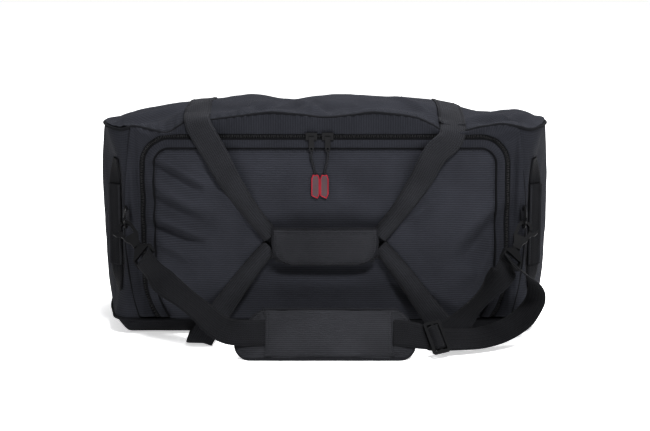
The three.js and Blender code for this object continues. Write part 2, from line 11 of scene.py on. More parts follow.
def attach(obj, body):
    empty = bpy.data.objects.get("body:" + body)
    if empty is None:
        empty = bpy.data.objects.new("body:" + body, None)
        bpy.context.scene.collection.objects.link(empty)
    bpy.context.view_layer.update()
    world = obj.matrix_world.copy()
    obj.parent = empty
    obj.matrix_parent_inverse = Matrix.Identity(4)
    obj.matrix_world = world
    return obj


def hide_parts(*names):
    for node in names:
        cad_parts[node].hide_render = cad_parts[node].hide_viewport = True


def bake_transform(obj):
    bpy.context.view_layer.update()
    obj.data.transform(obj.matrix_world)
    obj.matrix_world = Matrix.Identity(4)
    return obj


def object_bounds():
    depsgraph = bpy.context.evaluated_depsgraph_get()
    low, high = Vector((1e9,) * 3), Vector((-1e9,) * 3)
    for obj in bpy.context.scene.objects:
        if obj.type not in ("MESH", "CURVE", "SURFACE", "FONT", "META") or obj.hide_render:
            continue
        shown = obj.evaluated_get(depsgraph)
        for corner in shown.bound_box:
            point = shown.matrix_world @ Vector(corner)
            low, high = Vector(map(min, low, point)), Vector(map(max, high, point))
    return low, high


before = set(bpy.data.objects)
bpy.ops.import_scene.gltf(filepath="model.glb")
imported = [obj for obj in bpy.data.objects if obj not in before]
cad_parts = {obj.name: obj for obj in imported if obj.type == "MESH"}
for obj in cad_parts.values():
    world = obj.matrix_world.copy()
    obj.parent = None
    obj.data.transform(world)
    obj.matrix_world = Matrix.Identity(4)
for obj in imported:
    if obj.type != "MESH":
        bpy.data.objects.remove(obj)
cad_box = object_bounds()

# ---- Driving sizes, the same as the CAD part's ----
HALF_DEPTH = 0.15  # from the middle to the lid's seam, and to the flat base
FOOT_EDGE = 0.027  # height of the lower piping
FRONT_HEIGHT = 0.338  # of the upper piping in the middle of the front
BACK_HEIGHT = 0.308
TOP_CROWN = 0.014
FACE_BULGE = 0.01
CLOTH = 0.0016
PIPING = 0.0025  # radius
SEAM_CORD = 0.0014
BORDER_CORD = 0.0019
PULL_CORD = 0.0017
ZIP_HALF = 0.27
ZIP_TOP = 0.306
ZIP_RADIUS = 0.042
ZIP_FOOT = 0.032
ZIP_EDGE = 0.0036  # from the zip's line to the fabric on either side
BORDER = 0.013
WEBBING = 0.038  # width
WEBBING_THICK = 0.0018
WEBBING_X = 0.188
RING_X = 0.294
RING_BAR_Y = -0.16
RING_Z = 0.188
END_AT_PIPING = [(0.281, -0.15), (0.306, -0.146), (0.322, -0.132), (0.328, -0.108), (0.337, -0.06), (0.341, 0)]
END_AT_MIDDLE = [(0.298, -0.15), (0.3, -0.143), (0.3, -0.126), (0.308, -0.096), (0.337, -0.052), (0.35, 0)]
END_POWERS = (0.7, 1.1, 1.1, 1.1, 0.4, 0.35)  # the end fills out at once at its middle, slowly at its pinched front
FOOT_SHORTER = 0.004

SIDES = {"left": -1, "right": 1}


# ---- Camera, floor and light ----
AIM = Vector((0, -0.15, 0.187))
CAMERA_DISTANCE = 2.2
CAMERA_RISE = math.radians(11.5)
LENS_MM = 81.9


def add_to_scene(thing):
    bpy.context.scene.collection.objects.link(thing)
    return thing


def aimed_from(place, thing):
    thing.location = place
    thing.rotation_euler = (AIM - thing.location).to_track_quat("-Z", "Y").to_euler()
    return add_to_scene(thing)


def make_camera():
    data = bpy.data.cameras.new("camera")
    data.lens = LENS_MM
    data.sensor_width = 36
    back = Vector((0, -math.cos(CAMERA_RISE), math.sin(CAMERA_RISE)))
    camera = bpy.data.objects.new("camera", data)
    bpy.context.scene.camera = aimed_from(AIM + CAMERA_DISTANCE * back, camera)


def make_light(name, place, width, height, watts):
    data = bpy.data.lights.new(name, "AREA")
    data.shape = "RECTANGLE"
    data.size = width
    data.size_y = height
    data.energy = watts
    aimed_from(place, bpy.data.objects.new(name, data))


RIGHT, UP, FACE_OUT = Vector((1, 0, 0)), Vector((0, 0, 1)), Vector((0, -1, 0))


# ---- Small maths ----
def lerp(a, b, t):
    return a + (b - a) * t


def clamp01(t):
    return min(max(t, 0.0), 1.0)


def smooth(t):
    t = clamp01(t)
    return t * t * (3 - 2 * t)


def bell(distance, width):
    return math.exp(-((distance / width) ** 2))


def spline(points, t):
    """A point of the Catmull-Rom curve through points, t from 0 to 1."""
    last = len(points) - 1
    s = clamp01(t) * last
    i = min(int(s), last - 1)
    f = s - i
    before, a, b, after = points[max(i - 1, 0)], points[i], points[i + 1], points[min(i + 2, last)]
    return 0.5 * (
        2 * a
        + (b - before) * f
        + (2 * before - 5 * a + 4 * b - after) * f**2
        + (3 * a - before - 3 * b + after) * f**3
    )


def profile(points, x):
    """The smooth curve through (x, value) points, read at x."""
    if x <= points[0][0]:
        return points[0][1]
    if x >= points[-1][0]:
        return points[-1][1]
    i = next(k for k in range(1, len(points)) if x <= points[k][0])

    def slope(k):
        before, after = points[max(k - 1, 0)], points[min(k + 1, len(points) - 1)]
        return (after[1] - before[1]) / (after[0] - before[0])

    (x0, y0), (x1, y1) = points[i - 1], points[i]
    step = x1 - x0
    t = (x - x0) / step
    rise = y1 - y0
    start, end = slope(i - 1) * step, slope(i) * step
    return y0 + t * start + t * t * (3 * rise - 2 * start - end) + t**3 * (start + end - 2 * rise)


def ripple(x, y, z, pitch, detail=2):
    """Soft noise from -1 to 1 with bumps about a pitch apart."""
    return noise.fractal(Vector((x, y, z)) / pitch, 1.0, 2.0, detail)


def folds(creases, a, b):
    """Height at (a, b) of a set of soft ridges, each from (a0, b0) to (a1, b1), with a width and a height."""
    total = 0.0
    for a0, b0, a1, b1, width, height in creases:
        run_a, run_b = a1 - a0, b1 - b0
        length = math.hypot(run_a, run_b)
        along = ((a - a0) * run_a + (b - b0) * run_b) / length**2
        if -0.3 < along < 1.3:
            aside = ((a - a0) * run_b - (b - b0) * run_a) / length
            fade = smooth((along + 0.3) / 0.5) * smooth((1.3 - along) / 0.5)
            total += height * bell(aside, width) * fade
    return total


# ---- Mesh building ----
def new_piece(name, verts, faces, material, uv=None):
    """A smooth object from points and faces, with texture coordinates in metres."""
    mesh = bpy.data.meshes.new(name)
    mesh.from_pydata(verts, [], faces)
    if uv:
        write_uv(mesh, uv)
    mesh.materials.append(materials[material])
    mesh.shade_smooth()
    made = add_to_scene(bpy.data.objects.new(name, mesh))
    return made


def write_uv(mesh, uv):
    layer = mesh.uv_layers.new(name="UVMap")
    for loop in mesh.loops:
        layer.data[loop.index].uv = uv[loop.vertex_index]


def lengths(points):
    total = [0.0]
    for a, b in zip(points, points[1:]):
        total.append(total[-1] + (b - a).length)
    return total


def walk(points, stations):
    """For each distance along points, rising: the number of its stretch, and the share of that stretch."""
    travelled = lengths(points)
    k = 0
    for at in stations:
        while travelled[k + 1] < at:
            k += 1
        yield k, (at - travelled[k]) / max(travelled[k + 1] - travelled[k], 1e-9)


def sheet_of(name, columns, rows, place, material, thick=CLOTH):
    """A cloth of columns by rows cells at place(u, v), with texture coordinates in metres."""
    grid = [[place(i / columns, j / rows) for i in range(columns + 1)] for j in range(rows + 1)]
    across = lengths(grid[rows // 2])
    along = lengths([row[columns // 2] for row in grid])
    wide = columns + 1
    faces = []
    for j in range(rows):
        for i in range(columns):
            k = j * wide + i
            faces.append((k, k + 1, k + wide + 1, k + wide))
    verts = [point for row in grid for point in row]
    uv = [(across[i], along[j]) for j in range(rows + 1) for i in range(wide)]
    made = new_piece(name, verts, faces, material, uv)
    solid = made.modifiers.new("thickness", "SOLIDIFY")
    solid.thickness = thick
    solid.offset = -1
    return made


def loft(name, sections, uv, material, closed=False):
    """A solid through closed sections, all with the same number of points; uv holds a pair for each point."""
    count = len(sections[0])
    verts = [p for section in sections for p in section]
    rings = len(sections)
    faces = []
    for j in range(rings if closed else rings - 1):
        for i in range(count):
            a, b = j * count + i, j * count + (i + 1) % count
            up = ((j + 1) % rings) * count - j * count
            faces.append((a, b, b + up, a + up))
    if not closed:
        faces.append(tuple(reversed(range(count))))
        faces.append(tuple(range((rings - 1) * count, rings * count)))
    return new_piece(name, verts, faces, material, [pair for section in uv for pair in section])


def frames_along(points, closed):
    """For each point, its direction and a side direction that turns as little as it can."""
    count = len(points)
    found = []
    side = None
    for i, at in enumerate(points):
        ahead = points[(i + 1) % count] if closed else points[min(i + 1, count - 1)]
        behind = points[i - 1] if closed or i else points[0]
        along = (ahead - behind).normalized()
        if side is None:
            start = UP if abs(along.z) < 0.9 else RIGHT
            side = along.cross(start)
        side = (side - along * side.dot(along)).normalized()
        found.append((at, along, side))
    return found


def rod(name, points, radius, material, sides=8, closed=False):
    """A round cord or wire along points."""
    sections, uv = [], []
    travelled = lengths(points)
    for i, (at, along, side) in enumerate(frames_along(points, closed)):
        up = along.cross(side)
        ring = [2 * math.pi * k / sides for k in range(sides)]
        sections.append([at + radius * (math.cos(a) * side + math.sin(a) * up) for a in ring])
        uv.append([(a * radius, travelled[i]) for a in ring])
    return loft(name, sections, uv, material, closed)


def strap_section(width, thick, curl):
    """Points (across, out, texture) round a strap's section; curl is the angle it is bent through, edge to edge."""
    count = 8
    radius = width / curl if curl > 0.02 else None
    ring = []
    for face, steps in ((1, range(count + 1)), (-1, range(count, -1, -1))):
        for k in steps:
            s = (k / count - 0.5) * width
            edge = 0.55 if k in (0, count) else 1.0
            off = face * edge * thick / 2
            if radius:
                angle = s / radius
                ring.append(((radius + off) * math.sin(angle), (radius + off) * math.cos(angle) - radius, s))
            else:
                ring.append((s, off, s))
    return ring


def strap(name, points, turns, material, steps, width=WEBBING, thick=WEBBING_THICK, curl=None, facing=False):
    """Webbing through points; turns says which way its width runs, or its face where facing; curl(t) folds it."""
    sections, uv = [], []
    centres = [spline(points, j / steps) for j in range(steps + 1)]
    travelled = lengths(centres)
    for j, at in enumerate(centres):
        t = j / steps
        along = (centres[min(j + 1, steps)] - centres[max(j - 1, 0)]).normalized()
        turn = spline(turns, t)
        across = turn.cross(along) if facing else turn - along * turn.dot(along)
        across.normalize()
        out = along.cross(across)
        ring = strap_section(width(t) if callable(width) else width, thick, curl(t) if curl else 0)
        sections.append([at + a * across + n * out for a, n, _ in ring])
        uv.append([(s, travelled[j]) for _, _, s in ring])
    return loft(name, sections, uv, material)


STITCH_PITCH = 0.0042
STITCH_RADIUS = 0.00042
stitches = {}  # for each body: the middle, run and way out of every stitch


def sew(body, points, out):
    """A row of stitches along points."""
    whole = lengths(points)[-1]
    count = max(int(whole / STITCH_PITCH), 1)
    for k, part in walk(points, [(n + 0.5) * whole / count for n in range(count)]):
        along = (points[k + 1] - points[k]).normalized()
        stitches.setdefault(body, []).append((points[k].lerp(points[k + 1], part), along, out))


def make_stitching():
    """All the thread on a body, as one mesh."""
    for body, rows in stitches.items():
        verts, faces = [], []
        for centre, along, out in rows:
            side = along.cross(out).normalized() * STITCH_RADIUS
            up = out.normalized() * STITCH_RADIUS
            reach = along * (STITCH_PITCH * 0.68) / 2
            k = len(verts)
            verts += [centre - reach, centre + side, centre + up, centre - side, centre - up, centre + reach]
            for n in range(4):
                a, b = k + 1 + n, k + 1 + (n + 1) % 4
                faces += [(k, b, a), (k + 5, a, b)]
        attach(new_piece(f"stitching_{body}", verts, faces, "thread"), body)


# ---- Materials ----
class Nodes:
    """Adds shader nodes by type, with their inputs given as values or as other nodes' outputs."""

    def __init__(self, name):
        self.material = bpy.data.materials.new(name)
        self.material.use_nodes = True
        self.tree = self.material.node_tree
        self.shader = self.tree.nodes["Principled BSDF"]

    def add(self, kind, inputs=(), **settings):
        node = self.tree.nodes.new(kind)
        for key, value in settings.items():
            setattr(node, key, value)
        for key, value in dict(inputs).items():
            self.set(node.inputs[key], value)
        return node

    def set(self, socket, value):
        if isinstance(value, bpy.types.NodeSocket):
            self.tree.links.new(value, socket)
        else:
            socket.default_value = value

    def maths(self, operation, a, b=0.0):
        return self.add("ShaderNodeMath", {0: a, 1: b}, operation=operation).outputs[0]

    def wave(self, value, pitch):
        """A sine of the value with that pitch in metres, from 0 to 1."""
        turned = self.maths("SINE", self.maths("MULTIPLY", value, 2 * math.pi / pitch))
        return self.add("ShaderNodeMapRange", {0: turned, 1: -1.0, 2: 1.0}).outputs[0]

    def noise(self, vector, scale, detail):
        return self.add("ShaderNodeTexNoise", {"Vector": vector, "Scale": scale, "Detail": detail}).outputs[0]

    def mix(self, factor, dark, light):
        node = self.add("ShaderNodeMix", data_type="RGBA")
        self.set(node.inputs[0], factor)
        self.set(node.inputs[6], dark)
        self.set(node.inputs[7], light)
        return node.outputs[2]

    def weigh(self, a, b, share):
        """A mixture of two values, with that share of the first."""
        return self.maths("ADD", self.maths("MULTIPLY", a, share), self.maths("MULTIPLY", b, 1 - share))

    def uv(self):
        """The object's own coordinates, and u and v in metres."""
        place = self.add("ShaderNodeTexCoord")
        parts = self.add("ShaderNodeSeparateXYZ", {0: place.outputs["UV"]})
        return place.outputs["Object"], parts.outputs[0], parts.outputs[1]

    def between(self, value, low, high):
        return self.add("ShaderNodeMapRange", {0: value, 1: 0.0, 2: 1.0, 3: low, 4: high}).outputs[0]

    def finish(self, inputs, height, depth, strength):
        bump = self.add("ShaderNodeBump", {"Height": height, "Distance": depth, "Strength": strength})
        for key, value in {**inputs, "Normal": bump.outputs[0]}.items():
            self.set(self.shader.inputs[key], value)
        return self.material


def shade(colour, factor):
    return tuple(c * factor for c in colour) + (1.0,)


def woven(n, height, wear, share, colour, contrast, rough, sheen, sheen_rough, depth, strength):
    """Finishes cloth whose raised threads are lighter, with patches of wear."""
    tone = n.weigh(height, wear, share)
    looks = {
        "Base Color": n.mix(tone, shade(colour, 1 - contrast), shade(colour, 1 + contrast)),
        "Roughness": n.between(wear, rough - 0.08, rough + 0.08),
        "Sheen Weight": sheen,
        "Sheen Roughness": sheen_rough,
        "Specular IOR Level": 0.08,
    }
    return n.finish(looks, height, depth, strength)


def cloth_material(name, colour, thread=0.0011, rib=0.0036, rib_share=0.3, contrast=0.45, rough=0.8):
    """Plain-woven polyester: threads both ways, and the faint lines that run along the heavier weft."""
    n = Nodes(name)
    place, u, v = n.uv()
    slub = n.noise(place, 260.0, 3.0)
    drift = n.maths("MULTIPLY", slub, thread * 0.8)
    weave = n.maths("MULTIPLY", n.wave(u, 2 * thread), n.wave(n.maths("ADD", v, drift), thread))
    across, along = n.maths("ADD", u, thread), n.maths("ADD", v, thread / 2)
    back = n.maths("MULTIPLY", n.wave(across, 2 * thread), n.wave(along, thread))
    threads = n.maths("MAXIMUM", weave, back)
    lines = n.wave(n.maths("ADD", v, n.maths("MULTIPLY", slub, rib * 0.35)), rib)
    height = n.weigh(threads, lines, 1 - rib_share)
    wear = n.noise(place, 14.0, 4.0)
    return woven(n, height, wear, 0.6, colour, contrast, rough, 0.02, 0.45, 0.0006, 0.8)


def webbing_material(name, colour, contrast, rib=0.0024, column=0.0063):
    """Ribbed webbing: columns of slanted ribs that lean to and fro."""
    n = Nodes(name)
    place, u, v = n.uv()
    lean = n.maths("PINGPONG", u, column / 2)
    fuzz = n.noise(place, 420.0, 3.0)
    slanted = n.maths("ADD", n.maths("ADD", v, lean), n.maths("MULTIPLY", fuzz, rib * 0.3))
    height = n.weigh(n.wave(slanted, rib), n.wave(u, column / 2), 0.7)
    wear = n.noise(place, 22.0, 3.0)
    return woven(n, height, wear, 0.65, colour, contrast, 0.8, 0.04, 0.5, 0.0005, 0.9)


def solid_material(name, colour, rough, metal=0.0, grain=900.0, shine=0.3):
    """Moulded or painted stuff with a fine grain, patchy gloss and faint scuffs."""
    n = Nodes(name)
    place = n.add("ShaderNodeTexCoord")
    fine = n.noise(place.outputs["Object"], grain, 3.0)
    patchy = n.noise(place.outputs["Object"], 60.0, 4.0)
    base = n.mix(patchy, shade(colour, 0.75), shade(colour, 1.3))
    looks = {
        "Base Color": base,
        "Roughness": n.between(patchy, rough - 0.1, rough + 0.12),
        "Metallic": metal,
        "Specular IOR Level": shine,
    }
    return n.finish(looks, fine, 0.00008, 0.6)


SHELL = (0.0345, 0.0359, 0.043)
materials = {
    "shell": cloth_material("shell_cloth", SHELL, contrast=0.65),
    "lid": cloth_material("lid_cloth", (0.044, 0.0457, 0.0545), rib=0.0034, rib_share=0.35, contrast=0.75),
    # painted shade: a darker copy of the shell cloth for the lower wall, where it curves under the bag
    "painted_shade_underside": cloth_material("shade_painted_lower_cloth", (0.02, 0.0205, 0.024)),
    # dark cords: partly their own colour, partly painted shade that draws the seam lines
    "trim": cloth_material("cord_cloth_with_seam_shade", (0.013, 0.0133, 0.0155), thread=0.0009, rib=0.002, contrast=0.3),
    # darker than the shell cloth: partly the piping's own colour, partly painted shade of the line under the upper
    # wall
    "piping": cloth_material("piping_cloth_with_seam_shade", (0.018, 0.0185, 0.0215), thread=0.0009, rib=0.002, contrast=0.3),
    "binding": cloth_material("binding_tape", (0.0275, 0.028, 0.032), thread=0.0008, rib=0.0022, contrast=0.35),
    "webbing": webbing_material("ribbed_webbing", (0.03, 0.0306, 0.0344), 0.9),
    "strap": webbing_material("strap_webbing", (0.016, 0.0163, 0.0184), 0.9),
    "padding": cloth_material(
        "pad_cloth", (0.04, 0.0407, 0.0454), thread=0.0012, rib=0.003, contrast=0.8, rough=0.85
    ),
    "thread": cloth_material("thread", (0.0325, 0.0325, 0.0363), thread=0.0003, rib=0.0006, contrast=0.3),
    "zip_tape": webbing_material("zip_tape", (0.01, 0.0103, 0.0115), 0.3, rib=0.0011, column=0.0022),
    "zip_coil": solid_material("zip_coil", (0.034, 0.034, 0.0365), 0.38, shine=0.2),
    "metal": solid_material("black_metal", (0.02, 0.02, 0.0215), 0.3, metal=0.5, grain=700.0),
    "nylon": solid_material("black_nylon", (0.011, 0.0112, 0.0123), 0.52, grain=1400.0, shine=0.08),
    "red_rubber": solid_material("red_rubber", (0.24, 0.02, 0.034), 0.48),
    "pale_rubber": solid_material("pale_rubber", (0.08, 0.05, 0.056), 0.5),
}


# ---- The bag's outer form ----
def in_metres(rows):
    """Rows of millimetres, as rows of metres."""
    return [tuple(value * 0.001 for value in row) for row in rows]


# The upper front seam as (x, z), left to right: it dips beside the webbing and stands up at the corners.
FRONT_SEAM = in_metres([
    (-330, 323), (-318, 320.5), (-309, 318.5), (-287, 321), (-257, 315.5), (-231, 311), (-207, 325), (-187, 329),
    (-166, 330), (-125, 335.5), (-79, 340.5), (-37, 337.5), (0, 333), (37, 336.5), (72, 340.5), (132, 333),
    (157, 322.5), (170, 315), (188, 312.5), (206, 313.5), (222, 317.5), (238, 320.5), (260, 323.5), (284, 319.5),
    (302, 315), (318, 317), (330, 320),
])
# The crest of the upper wall as (x, z), a third of the way back.
CREST = in_metres([
    (-330, 318), (-300, 327), (-267, 335), (-214, 343), (-170, 347), (-130, 351.5), (-99, 353), (-60, 347.5),
    (-45, 346.5), (-8, 351.5), (53, 354), (114, 350), (176, 343), (237, 329), (262, 325), (292, 329), (314, 327),
    (330, 320),
])
CREST_Y = -0.06
# Ridges and hollows in the upper wall: x and y of both ends, width, height.
TOP_CREASES = in_metres([
    (-60, -60, -105, -135, 12, -6), (-70, -70, -125, -140, 10, 4), (-45, -70, -10, -140, 14, 4.5),
    (-20, -80, 15, -142, 12, -4), (-205, -80, -290, -140, 11, -5.5), (-220, -78, -305, -128, 10, 4.5),
    (-235, -142, -160, -85, 10, 5), (110, -75, 165, -135, 10, 5.5), (125, -70, 178, -128, 9, -5),
    (215, -130, 275, -85, 11, 5), (225, -140, 290, -100, 10, -4.5), (305, -135, 270, -70, 12, -5),
    (20, -142, 80, -100, 14, -3), (-150, -120, 0, -112, 11, -3), (20, -118, 150, -122, 11, -3),
])
# Ridges and hollows that the webbing and the load make in the front: x and z of both ends, width, height.
FRONT_CREASES = in_metres([
    (-253, 277, -179, 238, 9, 6), (-250, 262, -186, 222, 10, -5), (-262, 246, -190, 200, 14, 5.5),
    (-262, 212, -180, 176, 12, -5), (-258, 190, -190, 160, 10, 6), (-254, 170, -186, 146, 9, -6),
    (-250, 150, -200, 122, 10, 5), (-110, 110, -205, 45, 16, 5), (-90, 95, -170, 40, 12, -4),
    (258, 190, 205, 120, 12, -6), (262, 215, 190, 150, 14, 5), (255, 150, 225, 90, 12, 5),
    (150, 240, 100, 185, 14, 5.5), (175, 225, 120, 175, 12, -4.5), (-150, 225, -98, 180, 13, 4.5),
    (-75, 178, 75, 176, 18, -4.5), (-85, 112, 85, 110, 12, -4.5), (-70, 90, 60, 84, 16, 3),
    (110, 105, 200, 45, 16, 5), (95, 90, 165, 38, 12, -4), (-60, 275, 10, 245, 20, 2.2),
    (30, 262, 115, 236, 22, 2.5), (-286, 305, -279, 190, 6, -3.5), (-292, 260, -276, 120, 6, 3),
    (-284, 130, -262, 40, 6, -3), (288, 310, 279, 200, 6, -3.5), (290, 240, 282, 110, 6, 3),
    (284, 120, 262, 40, 6, -3), (-285, 318, -245, 300, 6, 2.5), (285, 312, 240, 300, 6, -2.5),
])


def fullness(v):
    return math.sin(math.pi * clamp01(v)) ** 0.7


def end_outline(t, v):
    """A point (x, y) of the right end seen from above, t from the front seam to the middle of the end."""
    swell = math.sin(math.pi * clamp01(v))
    shorter = FOOT_SHORTER * (1 - clamp01(v)) * (1 - swell)
    points = []
    for (x, y), (mid_x, mid_y), power in zip(END_AT_PIPING, END_AT_MIDDLE, END_POWERS):
        full = swell**power
        points.append(Vector((lerp(x, mid_x, full) - shorter, lerp(y, mid_y, full), 0)))
    beyond = Vector((points[-2].x, -points[-2].y, 0))  # keeps the curve smooth across the middle of the end
    return spline(points + [beyond], t * (len(points) - 1) / len(points))


def seam_x(v):
    return end_outline(0, v).x


def seam_height(x, y):
    """Height of the edge of the upper wall at (x, y)."""
    share = (y + HALF_DEPTH) / (2 * HALF_DEPTH)
    front = FRONT_HEIGHT - 0.014 * (x / 0.32) ** 2
    back = BACK_HEIGHT - 0.01 * (x / 0.32) ** 2
    waves = profile(FRONT_SEAM, x) - front
    return lerp(front, back, share) + waves * math.exp(-(y + HALF_DEPTH) / 0.035)


def end_point(e, v):
    """A point of the right end; e runs from -1 at the front seam to 1 at the back seam."""
    at = end_outline(1 - abs(e), v)
    y = at.y if e < 0 else -at.y
    return Vector((at.x, y, lerp(FOOT_EDGE, seam_height(at.x, y), v)))


def face_y(x, z):
    """How far forward the front stands at (x, z)."""
    v = (z - FOOT_EDGE) / (FRONT_HEIGHT - FOOT_EDGE)
    inside = smooth((seam_x(v) - 0.002 - abs(x)) / 0.012) * smooth(v / 0.12) * smooth((1 - v) / 0.1)
    slider_run = bell(z - ZIP_TOP, 0.016) * smooth((0.15 - abs(x)) / 0.03)
    relief = (1.4 * folds(FRONT_CREASES, x, z) + 0.0022 * ripple(x, 0, z, 0.07, 3)) * (1 - slider_run)
    bulge = FACE_BULGE * fullness(v) * (1 - (x / 0.3) ** 2)
    return -HALF_DEPTH - bulge - relief * inside


def on_face(x, z, proud=0.0):
    return Vector((x, face_y(x, z) - proud, z))


def pucker(distance, along, reach, pitch, height):
    """Little gathers beside a seam."""
    return height * bell(distance, reach) * math.sin(2 * math.pi * along / pitch + 2.5 * ripple(along, 0, 0, 0.05))


# ---- Curves of the lid side ----
ARC_X, ARC_Z = ZIP_HALF - ZIP_RADIUS, ZIP_TOP - ZIP_RADIUS  # centre of the zip's right corner


def zip_half(z):
    return ZIP_HALF - 0.02 * (1 - clamp01((z - 0.03) / 0.06)) ** 2


def from_foot(t):
    """The side that t is on, and how far up from the zip's foot: 1 in the middle of the top."""
    return (-1 if t < 0.5 else 1), 1 - abs(2 * t - 1)


def zip_point(t, offset):
    """(x, z) beside the zip, t from the lower left, over the top, to the lower right."""
    side, s = from_foot(t)
    if s < 0.4:
        z = lerp(ZIP_FOOT, ARC_Z, s / 0.4)
        return side * (zip_half(z) + offset), z
    if s < 0.6:
        angle = (s - 0.4) / 0.2 * math.pi / 2
        radius = ZIP_RADIUS + offset
        return side * (ARC_X + radius * math.cos(angle)), ARC_Z + radius * math.sin(angle)
    return side * ARC_X * (1 - (s - 0.6) / 0.4), ZIP_TOP + offset


def yoke_edge(t):
    """(x, z) of the outer edge of the fabric round the zip."""
    x, z = zip_point(t, 0)
    side, s = from_foot(t)
    height = FRONT_HEIGHT - FOOT_EDGE

    def under(at):
        return profile(FRONT_SEAM, at) - 0.0005

    if s < 0.4:
        return side * (seam_x((z - FOOT_EDGE) / height) - 0.0005), z
    if s >= 0.6:
        return x, under(x)
    corner_x = seam_x(0.98) - ARC_X
    corner_z = under(side * (ARC_X + corner_x)) - ARC_Z
    slope = math.tan((s - 0.4) / 0.2 * math.pi / 2)
    if slope < corner_z / corner_x:
        rise = corner_x * slope
        return side * (seam_x((ARC_Z + rise - FOOT_EDGE) / height) - 0.0005), ARC_Z + rise
    run = ARC_X + corner_z / slope
    return side * run, under(side * run)


def zip_line(offset, count, proud=0.0):
    return [on_face(*zip_point(k / count, offset), proud) for k in range(count + 1)]


def put(piece, body, *nodes):
    """Hangs a piece on its body, in place of the CAD nodes it stands for."""
    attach(piece, body)
    if nodes:
        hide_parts(*nodes)
    return piece


# ---- Shell ----
WALL_INSET = 0.0012  # the walls stop just inside the piping


def wall_row(v, edge):
    """Half the length, and y, of a row of the upper or lower wall."""
    at = end_point(2 * v - 1, edge)
    return at.x - WALL_INSET, at.y * (1 - WALL_INSET / HALF_DEPTH)


def top_height(x, y):
    crown = profile(CREST, x) - seam_height(x, CREST_Y)
    swell = clamp01(1 - (y / HALF_DEPTH) ** 2) ** 0.6 / 0.9
    edge = smooth((HALF_DEPTH - abs(y)) / 0.02) * smooth((0.322 - abs(x)) / 0.02)
    relief = 1.4 * folds(TOP_CREASES, x, y) + 0.0022 * ripple(x, y, 2.0, 0.055, 3)
    gather = pucker(y + HALF_DEPTH, x, 0.016, 0.013, 0.0008)
    back = bell(y + 0.03, 0.09)
    return seam_height(x, y) + crown * swell * lerp(0.72, 1, back) + relief * edge + gather


def make_shell():
    def top(u, v):
        half, y = wall_row(v, 1)
        x = lerp(-half, half, 0.5 - 0.5 * math.cos(math.pi * u))
        return Vector((x, y, top_height(x, y)))

    def bottom(u, v):
        half, y = wall_row(1 - v, 0)
        x = lerp(-half, half, 0.5 - 0.5 * math.cos(math.pi * u))
        inside = min(half - abs(x), HALF_DEPTH - abs(y))
        rise = 1 - math.sin(math.pi / 2 * clamp01(inside / 0.03))
        low = 0.0022 * clamp01((abs(x) - 0.07) / 0.08)
        relief = 0.0015 * ripple(x, y, 5.0, 0.04) * smooth(rise / 0.3) * smooth((1 - rise) / 0.3)
        return Vector((x, y, lerp(low, FOOT_EDGE, rise**1.2) + relief))

    def end_cloth(side, seed, depth):
        def place(u, v):
            e = side * (2 * u - 1)
            at = end_point(0.995 * e, v)
            soft = math.sin(math.pi * clamp01(v)) * smooth((1 - abs(e)) / 0.08)
            upright = depth * ripple(at.y, seed, at.z * 0.35, 0.045, 3)
            at = at + Vector((1, -0.4 if e < -0.4 else 0, 0)) * upright * soft
            return Vector((side * at.x, at.y, at.z))

        return place

    def base(u, v):
        half = seam_x(v) - 0.0005
        x = lerp(half, -half, u)
        relief = 0.0008 * ripple(x, 3.0, v * 0.3, 0.08)
        z = lerp(FOOT_EDGE, seam_height(x, HALF_DEPTH), v)
        return Vector((x, HALF_DEPTH - relief * math.sin(math.pi * v), z))

    put(sheet_of("upper_wall", 230, 120, top, "shell"), "bag", "upper_side_wall")
    # the lower wall gets the darker cloth, as painted shade where it curves under
    put(sheet_of("lower_wall", 150, 90, bottom, "painted_shade_underside"), "bag", "lower_side_wall")
    for label, seed, depth in (("right", 7.0, 0.0035), ("left", 17.0, 0.0038)):
        place = end_cloth(SIDES[label], seed, depth)
        put(sheet_of(f"{label}_end", 110, 110, place, "shell"), "bag", f"end_panel_{label}")
    put(sheet_of("base_cloth", 90, 50, base, "shell"), "bag", "base_panel")


def perimeter(t, v):
    share = 0.31
    half = seam_x(v)

    def along(x, y):
        return Vector((x, y, seam_height(x, y) if v > 0.5 else FOOT_EDGE))

    if t < share:
        return along(lerp(-half, half, t / share), -HALF_DEPTH)
    if t < 0.5:
        return end_point(lerp(-1, 1, (t - share) / (0.5 - share)), v)
    if t < 0.5 + share:
        return along(lerp(half, -half, (t - 0.5) / share), HALF_DEPTH)
    at = end_point(lerp(1, -1, (t - 0.5 - share) / (0.5 - share)), v)
    return Vector((-at.x, at.y, at.z))


def make_piping():
    count = 640
    for name, v, node in (("upper_piping", 1, "piping_upper"), ("lower_piping", 0, "piping_lower")):
        line = []
        for k in range(count):
            at = perimeter(k / count, v)
            line.append(at + UP * 0.0006 * ripple(at.x, at.y, v, 0.03))
        # the piping's dark cloth also carries painted shade of the seam line
        put(rod(name, line, PIPING, "piping", 12, closed=True), "bag", node)
    for side in (-1, 1):
        # a thin dark cord down each side seam, dark as painted shade of the seam's recess
        seam = []
        for k in range(90):
            at = end_point(-1, lerp(0.01, 0.985, k / 89))
            seam.append(Vector((side * at.x, at.y - 0.0004, at.z)))
        put(rod(f"seam_{side + 1}", seam, SEAM_CORD, "trim"), "bag")


# ---- Lid, zip and yoke ----
def lid_half(z, edge):
    if z <= ARC_Z:
        return zip_half(z) + edge
    radius = ZIP_RADIUS + edge
    return ARC_X + math.sqrt(max(radius**2 - (z - ARC_Z) ** 2, 0))


